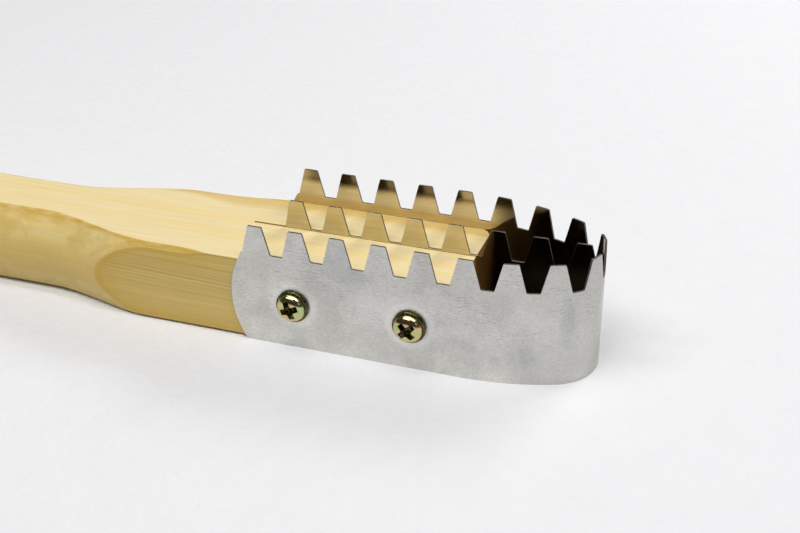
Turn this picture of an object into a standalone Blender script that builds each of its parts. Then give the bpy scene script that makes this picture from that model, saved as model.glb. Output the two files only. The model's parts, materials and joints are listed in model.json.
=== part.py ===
"""A curry comb: a wooden handle whose head block carries a toothed steel band and a toothed centre blade.

The frame has +X from the butt to the nose, +Z up towards the tooth tips, and its origin at the middle
of the footprint, on the plane that the band's lower edge rests on. Lengths are metres.
"""
import math

import bmesh
import bpy
from mathutils import Vector

MM = 0.001
CLEARANCE = 0.3 * MM                  # left between pieces that touch

# Overall
OVERALL_LENGTH = 240 * MM
NOSE_X = OVERALL_LENGTH / 2
BUTT_X = -OVERALL_LENGTH / 2

# Teeth, the same punch on the band and on the blade
TOOTH_PITCH = 10 * MM
TOOTH_HEIGHT = 7 * MM
TOOTH_TIP = 3.4 * MM
TOOTH_VALLEY = 3.0 * MM
TOOTH_FOOT = TOOTH_PITCH - TOOTH_VALLEY
SHEET = 0.5 * MM

# Toothed band, a strip bent on edge into a U
BAND_WIDTH = 33 * MM
BAND_HEIGHT = 30.5 * MM
BAND_TEETH_PER_SIDE = 9
CROWN_Y = -1.65 * MM                  # the foremost line of the bend is a little off the middle
MIDDLE_SHIFT = 0.25 * MM              # the strip's middle valley lies this far past the crown
NOSE_RADIUS = 11.7 * MM
NEAR_NOSE_SWEEP = math.radians(69)    # the tight bend's share of the quarter turn on the -Y side
FAR_NOSE_SWEEP = math.radians(61)
REAR_X = 35.2 * MM                    # the rearmost point of the band's round rear end
REAR_RADIUS = 22.5 * MM
REAR_STEP_HEIGHT = 0.2 * MM           # the small ledge behind the first tooth lies below the valleys
REAR_STEPS = 10                       # columns along each round rear end
BENT_LENGTH = 5 * TOOTH_PITCH         # how far from the middle the strip is bent
BENT_STEPS = 3                        # columns along each edge of a tooth where the strip is bent

# Centre blade
BLADE_FIRST_TOOTH_X = 44.5 * MM
BLADE_TEETH = 8
BLADE_TOP = 28.6 * MM
BLADE_BOTTOM = 5 * MM
BLADE_REAR_X = 41.4 * MM
BLADE_FRONT_X = 118.3 * MM
BLADE_CENTRE_Y = 2.3 * MM
BLADE_CORNER = 3 * MM

# Handle
WOOD_TOP = 21.3 * MM
WOOD_BOTTOM = 0.6 * MM
WOOD_END_X = 89.5 * MM
WOOD_WIDTH = BAND_WIDTH - 2 * SHEET - 2 * CLEARANCE
FRONT_CORNER = 3 * MM
KERF_START_X = 33 * MM
BODY_CENTRE_Y = -0.6 * MM             # the shaped grip sits a little off the block's middle
BODY_CENTRE_Z = 9.9 * MM
BODY_ASPECT = 1.125                   # height over width of the grip's oval
GRIP_HALF_WIDTH = 12.7 * MM
GRIP_SWELL = 0.9 * MM
GRIP_SWELL_X = -88 * MM
GRIP_SWELL_LENGTH = 60 * MM
NECK_START_X = -20 * MM
NECK_END_X = 14 * MM
NECK_GAIN = 5.1 * MM
SHOULDER_START_X = 20 * MM
SHOULDER_END_X = 42 * MM
SHOULDER_GAIN = 2.0 * MM
BUTT_ROUND = 4 * MM
BODY_SIDES = 72
BUTT_STEPS = 5                        # sections along the butt's rounding
GRIP_STEPS = 14                       # sections along the grip
SHAPED_STEPS = 24                     # sections along the neck and the shoulder
CORNER_STEPS = 6

# Screws, 4.2 mm pan heads with a cross recess
SCREW_X = (50.9 * MM, 79.5 * MM)
SCREW_Z = 11.3 * MM
SCREW_LENGTH = 16 * MM
SHANK_RADIUS = 2.1 * MM
POINT_LENGTH = 4.5 * MM
TIP_RADIUS = 0.525 * MM               # the point ends in a short blunt cone
TIP_LENGTH = 0.45 * MM
HEAD_RADIUS = 4.0 * MM
HEAD_SIDE = 1.2 * MM
HEAD_HEIGHT = 2.9 * MM
HEAD_EDGE_ROUND = 0.35 * MM
DOME_POWER = 0.8                      # below 1 the dome is fuller than a quarter ellipse
DOME_STEPS = 8
SCREW_SIDES = 32
RECESS_SPAN = 4.5 * MM
RECESS_DEPTH = 2.0 * MM
RECESS_WING = 1.15 * MM
RECESS_TAPER = 0.55
CROSS_HOLE_RADIUS = SHANK_RADIUS + CLEARANCE
CROSS_HOLE_SIDES = 24


def clear_scene():
    """Remove every object that the file holds."""
    for obj in list(bpy.data.objects):
        bpy.data.objects.remove(obj, do_unlink=True)


def make_material(name, colour, roughness, metallic):
    """A Principled BSDF with a plain colour."""
    material = bpy.data.materials.new(name)
    material.use_nodes = True
    shader = material.node_tree.nodes["Principled BSDF"]
    shader.inputs["Base Color"].default_value = (*colour, 1.0)
    shader.inputs["Roughness"].default_value = roughness
    shader.inputs["Metallic"].default_value = metallic
    return material


def add_object(name, bm, material=None, sharp_angle=math.radians(30)):
    """Turn a bmesh into a named object, shaded smooth except at its edges."""
    bmesh.ops.recalc_face_normals(bm, faces=bm.faces)
    mesh = bpy.data.meshes.new(name)
    bm.to_mesh(mesh)
    bm.free()
    mesh.shade_smooth()
    mesh.set_sharp_from_angle(angle=sharp_angle)
    if material:
        mesh.materials.append(material)
    obj = bpy.data.objects.new(name, mesh)
    bpy.context.scene.collection.objects.link(obj)
    return obj


def add_cutter(name, bm):
    """A guide shape for a Boolean, which isn't a piece of the object."""
    obj = add_object(name, bm)
    obj.hide_render = True
    obj.display_type = "WIRE"
    return obj


def combine(obj, cutter, operation):
    """Add an exact Boolean with a cutter."""
    modifier = obj.modifiers.new(cutter.name, "BOOLEAN")
    modifier.operation = operation
    modifier.solver = "EXACT"
    modifier.object = cutter


def arc(centre, radius, start, end, steps):
    """Points of an arc in a plane, angles in degrees, both ends included."""
    angles = [math.radians(start + (end - start) * i / steps) for i in range(steps + 1)]
    return [(centre[0] + radius * math.cos(a), centre[1] + radius * math.sin(a)) for a in angles]


def plate(outline, y_low, y_high):
    """Extrude a closed (x, z) outline across Y."""
    bm = bmesh.new()
    face = bm.faces.new([bm.verts.new((x, y_low, z)) for x, z in outline])
    extruded = bmesh.ops.extrude_face_region(bm, geom=[face])
    moved = [item for item in extruded["geom"] if isinstance(item, bmesh.types.BMVert)]
    bmesh.ops.translate(bm, vec=(0, y_high - y_low, 0), verts=moved)
    return bm


def smooth_step(x, start, end):
    """0 before start, 1 after end, with level ends between."""
    t = min(max((x - start) / (end - start), 0), 1)
    return t * t * (3 - 2 * t)


# --- Toothed band ---------------------------------------------------------------------------------

def band_side(sweep, half_width):
    """The tight bend and the easing bend that turn one side of the band through a right angle."""
    easing_radius = (half_width - NOSE_RADIUS * math.sin(sweep)) / (1 - math.sin(sweep))
    return ((NOSE_RADIUS, sweep), (easing_radius, math.pi / 2 - sweep))


BAND_SIDES = {-1: band_side(NEAR_NOSE_SWEEP, BAND_WIDTH / 2 + CROWN_Y),
              1: band_side(FAR_NOSE_SWEEP, BAND_WIDTH / 2 - CROWN_Y)}


def band_point(s):
    """The outer face's (x, y) at the distance s along the strip from its middle, +s on the +Y side."""
    s += MIDDLE_SHIFT
    side = 1 if s > 0 else -1
    left = abs(s)
    back, across, heading = 0.0, 0.0, 0.0
    for radius, sweep in BAND_SIDES[side]:
        turn = min(left / radius, sweep)
        across += radius * (math.sin(heading + turn) - math.sin(heading))
        back += radius * (math.cos(heading) - math.cos(heading + turn))
        heading += turn
        left = max(left - radius * sweep, 0)
    return NOSE_X - back - left, CROWN_Y + side * across


def band_distance(x, side):
    """The distance along the strip at which its straight leg on one side reaches x."""
    probe = side * BAND_TEETH_PER_SIDE * TOOTH_PITCH
    return probe + side * (band_point(probe)[0] - x)


def tooth_corners(centre, foot_z, columns):
    """(position, height) of one tooth's corners, with extra columns where the strip is bent."""
    tip_z = foot_z + TOOTH_HEIGHT
    foot, tip = TOOTH_FOOT / 2, TOOTH_TIP / 2
    corners = [(-foot, foot_z), (-tip, tip_z), (tip, tip_z), (foot, foot_z)]
    points = []
    for (a, za), (b, zb) in zip(corners, corners[1:]):
        points += [(centre + a + (b - a) * i / columns, za + (zb - za) * i / columns) for i in range(columns)]
    return points + [(centre + foot, foot_z)]


def rear_columns(side):
    """Columns of one round rear end, from its rearmost point to the ledge behind the first tooth."""
    middle_z = (BAND_HEIGHT - TOOTH_HEIGHT - REAR_STEP_HEIGHT) / 2
    last = math.asin(middle_z / REAR_RADIUS)
    columns = []
    for i in range(REAR_STEPS + 1):
        angle = last * i / REAR_STEPS
        x = REAR_X + REAR_RADIUS * (1 - math.cos(angle))
        half = REAR_RADIUS * math.sin(angle)
        columns.append((band_distance(x, side), middle_z - half, middle_z + half))
    return columns


def band_columns():
    """Every upright line of the flat strip, as (distance, lower z, upper z)."""
    foot_z = BAND_HEIGHT - TOOTH_HEIGHT
    columns = rear_columns(-1)
    for i in range(-BAND_TEETH_PER_SIDE, BAND_TEETH_PER_SIDE):
        centre = (i + 0.5) * TOOTH_PITCH
        bent = abs(centre) < BENT_LENGTH
        if bent and i > -BAND_TEETH_PER_SIDE:
            columns.append((i * TOOTH_PITCH, 0, foot_z))
        columns += [(s, 0, z) for s, z in tooth_corners(centre, foot_z, BENT_STEPS if bent else 1)]
    return columns + rear_columns(1)[::-1]


def make_band(material):
    """Wrap the toothed strip round the block and thicken it inwards."""
    bm = bmesh.new()
    previous = None
    for s, low, high in band_columns():
        x, y = band_point(s)
        column = [bm.verts.new((x, y, low))]
        if high > low:
            column.append(bm.verts.new((x, y, high)))
        if previous:
            bm.faces.new(previous[:1] + column + previous[:0:-1])
        previous = column
    band = add_object("toothed_band", bm, material)
    solidify = band.modifiers.new("sheet", "SOLIDIFY")
    solidify.thickness = SHEET
    solidify.offset = -1
    solidify.use_even_offset = True
    return band


# --- Centre blade ---------------------------------------------------------------------------------

def make_blade(material):
    """A flat toothed plate with an upright rear edge."""
    foot_z = BLADE_TOP - TOOTH_HEIGHT
    outline = [(BLADE_REAR_X + BLADE_CORNER, BLADE_BOTTOM), (BLADE_REAR_X, BLADE_BOTTOM + BLADE_CORNER),
               (BLADE_REAR_X, foot_z)]
    for i in range(BLADE_TEETH):
        corners = tooth_corners(BLADE_FIRST_TOOTH_X + i * TOOTH_PITCH, foot_z, 1)
        outline += corners[1:] if i == 0 else corners
    outline += [(BLADE_FRONT_X, foot_z), (BLADE_FRONT_X, BLADE_BOTTOM)]
    bm = plate(outline, BLADE_CENTRE_Y - SHEET / 2, BLADE_CENTRE_Y + SHEET / 2)
    return add_object("centre_blade", bm, material)


# --- Handle ---------------------------------------------------------------------------------------

def body_half_width(x):
    """Half the width of the oval that shapes the grip, the neck and the shoulder."""
    width = GRIP_HALF_WIDTH
    swell = min(abs(x - GRIP_SWELL_X) / GRIP_SWELL_LENGTH, 1)
    width += GRIP_SWELL * (1 + math.cos(math.pi * swell)) / 2
    width += NECK_GAIN * smooth_step(x, NECK_START_X, NECK_END_X)
    width += SHOULDER_GAIN * smooth_step(x, SHOULDER_START_X, SHOULDER_END_X)
    inside = min(max(x - BUTT_X, 0), BUTT_ROUND)
    return width - BUTT_ROUND + math.sqrt(BUTT_ROUND ** 2 - (BUTT_ROUND - inside) ** 2)


def body_stations():
    """Where the oval sections stand along X: close at the butt's round edge, at the neck and the shoulder."""
    stations = [BUTT_X - BUTT_ROUND]
    for i in range(BUTT_STEPS + 1):
        stations.append(BUTT_X + BUTT_ROUND * (1 - math.cos(math.pi / 2 * i / BUTT_STEPS)))
    grip_start = BUTT_X + BUTT_ROUND
    stations += [grip_start + (NECK_START_X - grip_start) * i / GRIP_STEPS for i in range(1, GRIP_STEPS)]
    shaped = SHOULDER_END_X - NECK_START_X
    stations += [NECK_START_X + shaped * i / SHAPED_STEPS for i in range(SHAPED_STEPS + 1)]
    return stations + [WOOD_END_X + BUTT_ROUND]


def make_body():
    """The oval body of the handle, lofted through its sections."""
    bm = bmesh.new()
    rings = []
    for x in body_stations():
        half = body_half_width(x)
        ring = []
        for i in range(BODY_SIDES):
            angle = 2 * math.pi * i / BODY_SIDES
            y = BODY_CENTRE_Y + half * math.cos(angle)
            z = BODY_CENTRE_Z + half * BODY_ASPECT * math.sin(angle)
            ring.append(bm.verts.new((x, y, z)))
        rings.append(ring)
    for near, far in zip(rings, rings[1:]):
        for i in range(BODY_SIDES):
            j = (i + 1) % BODY_SIDES
            bm.faces.new((near[i], near[j], far[j], far[i]))
    bm.faces.new(rings[0])
    bm.faces.new(rings[-1])
    return bm


def make_stock():
    """The squared plank that the handle is shaped from, with its butt and front corners rounded."""
    low, high = WOOD_BOTTOM, WOOD_TOP
    inner_x = BUTT_X + BUTT_ROUND
    outline = [(WOOD_END_X, low), (WOOD_END_X, high)]
    outline += arc((inner_x, high - BUTT_ROUND), BUTT_ROUND, 90, 180, BUTT_STEPS)
    outline += arc((inner_x, low + BUTT_ROUND), BUTT_ROUND, 180, 270, BUTT_STEPS)
    bm = plate(outline, -WOOD_WIDTH / 2, WOOD_WIDTH / 2)
    corners = [edge for edge in bm.edges
               if all(abs(v.co.x - WOOD_END_X) < CLEARANCE for v in edge.verts)
               and abs(edge.verts[0].co.y - edge.verts[1].co.y) < CLEARANCE]
    bmesh.ops.bevel(bm, geom=corners, offset=FRONT_CORNER, segments=CORNER_STEPS, profile=0.5, affect="EDGES")
    return bm


def make_handle(material):
    """Shape the plank with the oval body, then saw the kerf for the blade."""
    handle = add_object("handle", make_body(), material)
    combine(handle, add_cutter("handle_stock", make_stock()), "INTERSECT")
    half_kerf = SHEET / 2 + CLEARANCE
    low, high = BLADE_BOTTOM - CLEARANCE, WOOD_TOP + BUTT_ROUND
    front = WOOD_END_X + BUTT_ROUND
    outline = [(KERF_START_X, low), (front, low), (front, high), (KERF_START_X, high)]
    kerf = add_cutter("kerf_cutter", plate(outline, BLADE_CENTRE_Y - half_kerf, BLADE_CENTRE_Y + half_kerf))
    combine(handle, kerf, "DIFFERENCE")
    return handle


# --- Screws ---------------------------------------------------------------------------------------

def turned(profile, sides):
    """Turn an (radius, height) profile that starts and ends on the axis about Z."""
    bm = bmesh.new()
    verts = [bm.verts.new((radius, 0, height)) for radius, height in profile]
    edges = [bm.edges.new(pair) for pair in zip(verts, verts[1:])]
    bmesh.ops.spin(bm, geom=verts + edges, cent=(0, 0, 0), axis=(0, 0, 1), angle=2 * math.pi, steps=sides)
    bmesh.ops.remove_doubles(bm, verts=bm.verts, dist=MM / 1000)
    return bm


def screw_profile():
    """Half the outline of a pan-head screw, from its point up to the crown of its head."""
    profile = [(0, -SCREW_LENGTH), (TIP_RADIUS, -SCREW_LENGTH + TIP_LENGTH),
               (SHANK_RADIUS, -SCREW_LENGTH + POINT_LENGTH), (SHANK_RADIUS, 0)]
    profile += [(HEAD_RADIUS - HEAD_EDGE_ROUND, 0), (HEAD_RADIUS, HEAD_EDGE_ROUND), (HEAD_RADIUS, HEAD_SIDE)]
    rise = HEAD_HEIGHT - HEAD_SIDE
    for i in range(1, DOME_STEPS + 1):
        angle = math.pi / 2 * i / DOME_STEPS
        profile.append((HEAD_RADIUS * math.cos(angle) ** DOME_POWER, HEAD_SIDE + rise * math.sin(angle)))
    profile[-1] = (0, HEAD_HEIGHT)
    return profile


def make_recess():
    """The tapered cross of a screw's drive recess."""
    bm = bmesh.new()
    top, bottom = HEAD_HEIGHT + MM, HEAD_HEIGHT - RECESS_DEPTH
    grow = 1 + (1 - RECESS_TAPER) * MM / RECESS_DEPTH
    half_span, half_wing = RECESS_SPAN / 2, RECESS_WING / 2
    outline = []
    for quarter in range(4):
        turn = math.pi / 2 * quarter
        for x, y in ((half_span, -half_wing), (half_span, half_wing), (half_wing, half_wing)):
            outline.append((x * math.cos(turn) - y * math.sin(turn), x * math.sin(turn) + y * math.cos(turn)))
    upper = [bm.verts.new((x * grow, y * grow, top)) for x, y in outline]
    lower = [bm.verts.new((x * RECESS_TAPER, y * RECESS_TAPER, bottom)) for x, y in outline]
    bm.faces.new(upper)
    bm.faces.new(lower)
    for i in range(len(outline)):
        j = (i + 1) % len(outline)
        bm.faces.new((upper[i], upper[j], lower[j], lower[i]))
    return bm


def make_screw_mesh(material):
    """One screw about its own axis, with the recess cut, as a mesh that all four share."""
    blank = add_object("screw_blank", turned(screw_profile(), SCREW_SIDES), material)
    recess = add_cutter("recess_cutter", make_recess())
    combine(blank, recess, "DIFFERENCE")
    evaluated = blank.evaluated_get(bpy.context.evaluated_depsgraph_get())
    mesh = bpy.data.meshes.new_from_object(evaluated)
    mesh.name = "screw"
    for helper in (blank, recess):
        bpy.data.objects.remove(helper, do_unlink=True)
    return mesh


def place_screws(mesh):
    """Two screws through each leg of the band, heads outwards."""
    seat = BAND_WIDTH / 2 + CLEARANCE
    for side_name, side in (("near", -1), ("far", 1)):
        for end_name, x in zip(("rear", "front"), SCREW_X):
            screw = bpy.data.objects.new(f"screw_{side_name}_{end_name}", mesh)
            screw.location = (x, side * seat, SCREW_Z)
            screw.rotation_euler = Vector((0, side, 0)).to_track_quat("Z", "X").to_euler()
            bpy.context.scene.collection.objects.link(screw)


def make_cross_hole(name, x):
    """A cutter for one hole drilled across the band, the block and the blade."""
    bm = bmesh.new()
    bmesh.ops.create_cone(bm, cap_ends=True, segments=CROSS_HOLE_SIDES, radius1=CROSS_HOLE_RADIUS,
                          radius2=CROSS_HOLE_RADIUS, depth=2 * BAND_WIDTH)
    cutter = add_cutter(name, bm)
    cutter.location = (x, 0, SCREW_Z)
    cutter.rotation_euler = (math.pi / 2, 0, 0)
    return cutter


def main():
    clear_scene()
    wood = make_material("pale_wood", (0.73, 0.57, 0.31), 0.55, 0.0)
    band_steel = make_material("satin_steel", (0.62, 0.61, 0.60), 0.32, 1.0)
    blade_steel = make_material("bright_steel", (0.55, 0.54, 0.52), 0.18, 1.0)
    zinc = make_material("yellow_zinc", (0.62, 0.55, 0.27), 0.28, 1.0)

    screw_mesh = make_screw_mesh(zinc)
    pieces = [make_handle(wood), make_band(band_steel), make_blade(blade_steel)]
    for name, x in zip(("rear_cross_hole", "front_cross_hole"), SCREW_X):
        cutter = make_cross_hole(name, x)
        for piece in pieces:
            combine(piece, cutter, "DIFFERENCE")
    place_screws(screw_mesh)


main()
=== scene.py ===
"""Looks of the curry comb, laid out as an add-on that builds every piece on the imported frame.

The frame has +X from the butt to the nose and +Z up towards the tooth tips. Lengths are metres.
"""
import json
import math

import bmesh
import bpy
from mathutils import Matrix, Vector

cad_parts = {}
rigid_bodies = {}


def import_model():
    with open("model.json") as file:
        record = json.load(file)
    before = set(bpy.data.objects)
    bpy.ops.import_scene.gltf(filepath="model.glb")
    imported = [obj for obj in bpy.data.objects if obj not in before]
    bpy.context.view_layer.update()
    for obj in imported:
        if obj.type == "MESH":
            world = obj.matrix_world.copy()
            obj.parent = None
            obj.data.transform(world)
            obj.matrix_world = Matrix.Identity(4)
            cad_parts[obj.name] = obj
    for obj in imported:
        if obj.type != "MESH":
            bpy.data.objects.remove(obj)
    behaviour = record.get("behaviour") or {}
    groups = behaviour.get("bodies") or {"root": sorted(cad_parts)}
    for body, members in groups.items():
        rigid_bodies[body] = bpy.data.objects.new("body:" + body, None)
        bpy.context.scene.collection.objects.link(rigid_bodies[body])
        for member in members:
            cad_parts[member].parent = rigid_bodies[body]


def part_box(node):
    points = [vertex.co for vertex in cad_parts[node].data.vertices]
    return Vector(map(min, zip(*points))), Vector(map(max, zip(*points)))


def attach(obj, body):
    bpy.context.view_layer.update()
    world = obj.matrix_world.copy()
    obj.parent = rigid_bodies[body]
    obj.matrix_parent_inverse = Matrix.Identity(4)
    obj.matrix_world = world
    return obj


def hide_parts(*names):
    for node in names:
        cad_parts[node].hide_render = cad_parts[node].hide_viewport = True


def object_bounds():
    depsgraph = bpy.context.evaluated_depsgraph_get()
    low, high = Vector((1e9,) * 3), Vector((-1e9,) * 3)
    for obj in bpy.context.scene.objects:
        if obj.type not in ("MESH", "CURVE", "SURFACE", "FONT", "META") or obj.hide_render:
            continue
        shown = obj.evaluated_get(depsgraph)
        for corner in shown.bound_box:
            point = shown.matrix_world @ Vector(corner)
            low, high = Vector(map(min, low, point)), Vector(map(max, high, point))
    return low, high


bl_info = {
    "name": "Curry Comb",
    "version": (1, 0, 0),
    "blender": (4, 5, 0),
    "location": "3D View > Sidebar > Curry Comb",
    "description": "Builds a curry comb with its wooden handle, toothed band, centre blade and screws",
    "category": "Object",
}

MM = 0.001

for leftover in list(bpy.data.objects):
    bpy.data.objects.remove(leftover, do_unlink=True)
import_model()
CAD_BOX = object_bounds()

HANDLE_LOW, HANDLE_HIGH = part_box("handle")
BAND_LOW, BAND_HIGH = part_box("toothed_band")
BLADE_LOW, BLADE_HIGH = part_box("centre_blade")
SCREW_NODES = ("screw_near_rear", "screw_near_front", "screw_far_rear", "screw_far_front")


# --- Settings -------------------------------------------------------------------------------------

def length(name, description, default):
    """A size that the sidebar shows with its unit."""
    return bpy.props.FloatProperty(name=name, description=description, default=default, precision=5,
                                   unit="LENGTH", subtype="DISTANCE")


def angle(name, description, default):
    """An angle given in degrees."""
    return bpy.props.FloatProperty(name=name, description=description, default=math.radians(default),
                                   unit="ROTATION", subtype="ANGLE")


def amount(name, description, default):
    """A plain number."""
    return bpy.props.FloatProperty(name=name, description=description, default=default, precision=3)


def colour(name, description, default):
    """A colour."""
    return bpy.props.FloatVectorProperty(name=name, description=description, default=default, size=3,
                                         min=0.0, max=1.0, subtype="COLOR")


class CombTeethSettings(bpy.types.PropertyGroup):
    """The punch that cuts the teeth of the band and of the blade."""
    pitch: length("Pitch", "Distance from one tooth to the next", 10 * MM)
    height: length("Height", "Height of a tooth above its valley", 7 * MM)
    tip: length("Tip width", "Width of a tooth's flat tip", 3.4 * MM)
    valley: length("Valley width", "Width of the flat valley between two teeth", 3 * MM)
    corner: length("Corner rounding", "Radius left at the tips and in the valleys by the punch", 0.3 * MM)
    sheet: length("Sheet thickness", "Thickness of the steel sheet", 0.5 * MM)
    edge: length("Edge rounding", "Width of the rubbed line along each sheared edge", 0.05 * MM)


class CombBandSettings(bpy.types.PropertyGroup):
    """The toothed strip bent into a U."""
    teeth: bpy.props.IntProperty(name="Teeth per side", description="Teeth on each half of the strip",
                                 default=9, min=1)
    crown: length("Crown offset", "Sideways place of the bend's foremost line", -1.65 * MM)
    middle: length("Middle offset", "Distance of the strip's middle valley past the crown", 0.25 * MM)
    nose_radius: length("Nose radius", "Radius of the tight bend at the nose", 11.7 * MM)
    near_sweep: angle("Near sweep", "How far the tight bend turns the strip on the -Y side", 69)
    far_sweep: angle("Far sweep", "How far the tight bend turns the strip on the +Y side", 61)
    rear_radius: length("Rear end radius", "Radius of the round rear ends", 22.5 * MM)
    ledge: length("Ledge", "Drop of the small ledge behind the first tooth", 0.2 * MM)
    outside: colour("Outside", "Rubbed steel outside", (0.74, 0.73, 0.69))
    inside: colour("Inside", "Bright steel inside", (0.69, 0.61, 0.455))
    # Height of the painted dark reflection on the tips of the far teeth
    tip_reflection_height: length("Dark tips", "Height of the dark tips inside the far teeth", 1.3 * MM)
    sheared: colour("Sheared edge", "Dull steel of the punched edges", (0.12, 0.11, 0.10))


class CombBladeSettings(bpy.types.PropertyGroup):
    """The toothed plate let into the middle of the block."""
    first_tooth: length("First tooth", "Place of the rearmost tooth along X", 44.5 * MM)
    teeth: bpy.props.IntProperty(name="Teeth", description="Teeth on the blade", default=8, min=1)
    corner: length("Lower corner", "Cut of the lower rear corner", 3 * MM)
    face: colour("Face", "Bright steel of the blade's faces", (0.64, 0.565, 0.38))


class CombHandleSettings(bpy.types.PropertyGroup):
    """The wooden handle: a squared plank shaped by an oval that swells and narrows along it."""
    body_y: length("Oval centre Y", "Sideways place of the oval's axis", -0.6 * MM)
    body_z: length("Oval centre Z", "Height of the oval's axis", 9.9 * MM)
    aspect: amount("Oval aspect", "Height of the oval over its width", 1.125)
    grip: length("Grip half width", "Half width of the oval at the grip", 12.7 * MM)
    swell: length("Grip swell", "Gain in half width where the grip is fullest", 0.9 * MM)
    swell_x: length("Swell place", "Place of the fullest part of the grip", -88 * MM)
    swell_reach: length("Swell reach", "Distance over which the swell fades", 60 * MM)
    neck: length("Neck gain", "Gain in half width along the neck", 5.1 * MM)
    shoulder: length("Shoulder gain", "Gain in half width along the shoulder", 2.0 * MM)
    butt_round: length("Butt rounding", "Radius round the butt", 4 * MM)
    front_corner: length("Front corners", "Radius of the upright corners at the front of the block", 3 * MM)
    kerf_x: length("Kerf start", "Where the saw cut for the blade begins", 33 * MM)
    kerf: length("Kerf width", "Width of the saw cut", 0.72 * MM)
    face: colour("Top", "Pale wood where the light has bleached it", (0.79, 0.66, 0.38))
    # Painted shade: the sides' darker, more golden copy of the wood
    shaded_flank: colour("Sides", "Wood of the sides", (0.69, 0.55, 0.225))
    late: colour("Grain lines", "Darker late wood of each ring", (0.33, 0.205, 0.06))
    streak: colour("Streaks", "Soft golden streaks along the grain", (0.84, 0.60, 0.20))
    stain: colour("Stain", "Golden stain along the edges", (0.56, 0.34, 0.03))


class CombScrewSettings(bpy.types.PropertyGroup):
    """Pan-head screws with a cross recess."""
    shank: length("Shank radius", "Radius over the threads", 2.1 * MM)
    core: length("Core radius", "Radius at the bottom of the thread", 1.5 * MM)
    pitch: length("Thread pitch", "Rise of the thread in one turn", 1.4 * MM)
    point: length("Point length", "Length of the tapered point", 4.5 * MM)
    length: length("Shank length", "Length under the head", 16 * MM)
    head: length("Head radius", "Radius of the head's rim", 4.0 * MM)
    side: length("Rim height", "Height of the rim round the dome", 0.9 * MM)
    dome: length("Dome radius", "Radius of the dome at its foot", 3.5 * MM)
    rise: length("Head height", "Full height of the head", 2.8 * MM)
    recess: length("Recess span", "Width across the cross recess", 4.9 * MM)
    recess_depth: length("Recess depth", "Depth of the cross recess", 2.0 * MM)
    wing: length("Wing width", "Width of one wing of the cross", 1.55 * MM)
    near_rear: angle("Near rear turn", "How far the near rear screw is turned", 21)
    near_front: angle("Near front turn", "How far the near front screw is turned", 44)
    far_rear: angle("Far rear turn", "How far the far rear screw is turned", 70)
    far_front: angle("Far front turn", "How far the far front screw is turned", 8)
    plating: colour("Plating", "Yellow-green of the zinc plating", (0.62, 0.61, 0.26))
    blush: colour("Blush", "Pink and orange tint of the plating", (0.72, 0.46, 0.24))


class CombStageSettings(bpy.types.PropertyGroup):
    """Floor, lights and camera."""
    floor: colour("Floor", "Pale paper under the comb", (0.755, 0.755, 0.768))
    front_tube: amount("Front light", "Power of the long light above and in front in watts", 34.5)
    low_tube: amount("Low front light", "Power of the shorter light lower in front in watts", 5.0)
    top_tube: amount("Top light", "Power of the long light straight above in watts", 12.0)
    window: amount("Side light", "Power of the small light on the right in watts", 0.4)
    back_window: amount("Back light", "Power of the small light behind on the right in watts", 4.3)
    room: amount("Room light", "Strength of the dim light from all round", 0.05)
    haze: amount("Haze", "How much paler the room looks beyond the floor", 0.17)
    azimuth: angle("Azimuth", "Camera's turn round the comb", 19.73)
    elevation: angle("Elevation", "Camera's height above the floor as an angle", 29.09)
    roll: angle("Roll", "Camera's tilt about its own line of sight", -0.714)
    distance: length("Distance", "Camera's distance from its target", 278.97 * MM)
    target: bpy.props.FloatVectorProperty(name="Target", description="Point in the middle of the view",
                                          default=(73.87 * MM, -6.606 * MM, 20.5 * MM), size=3,
                                          subtype="TRANSLATION", unit="LENGTH")
    lens: bpy.props.FloatProperty(name="Lens", description="Focal length in millimetres on a 36 mm sensor",
                                  default=54.662)


# --- Node helpers ---------------------------------------------------------------------------------

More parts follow.
